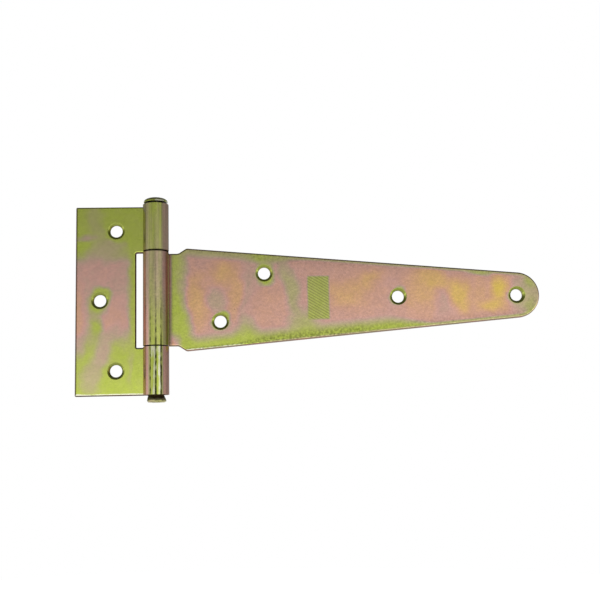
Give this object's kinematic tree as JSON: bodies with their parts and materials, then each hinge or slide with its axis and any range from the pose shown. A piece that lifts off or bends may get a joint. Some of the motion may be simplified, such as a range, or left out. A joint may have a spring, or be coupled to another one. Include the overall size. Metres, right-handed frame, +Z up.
{
  "type": "tee hinge",
  "caption": "Steel tee hinge: a notched rectangular post leaf and a long tapered strap leaf, whose rolled knuckles turn on a headed pin, with countersunk screw holes.",
  "frame": {"origin": "on the back mounting face of the post leaf, midway between its two outer screw holes", "axes": "+X from the post leaf towards the strap leaf's tip, +Y out of the leaves' backs into the post and door, +Z up along the hinge pin towards its head"},
  "size_m": [0.2415, 0.0133, 0.1053],
  "materials": {
    "post_leaf_plating": "yellow passivated zinc plating, iridescent green, gold and rose, satin",
    "strap_leaf_plating": "yellow passivated zinc plating, iridescent green, gold and rose, satin",
    "hinge_pin_plating": "yellow passivated zinc plating, olive green, satin"
  },
  "bodies": {
    "post_leaf": {"post_leaf": "post_leaf_plating", "hinge_pin": "hinge_pin_plating"},
    "strap_leaf": {"strap_leaf": "strap_leaf_plating"}
  },
  "joints": [
    {"name": "strap_swing", "type": "hinge", "parent": "post_leaf", "child": "strap_leaf", "pos_m": [0.0208, -0.00665, 0], "axis": [0, 0, -1], "range_deg": [-112, 188]}
  ]
}
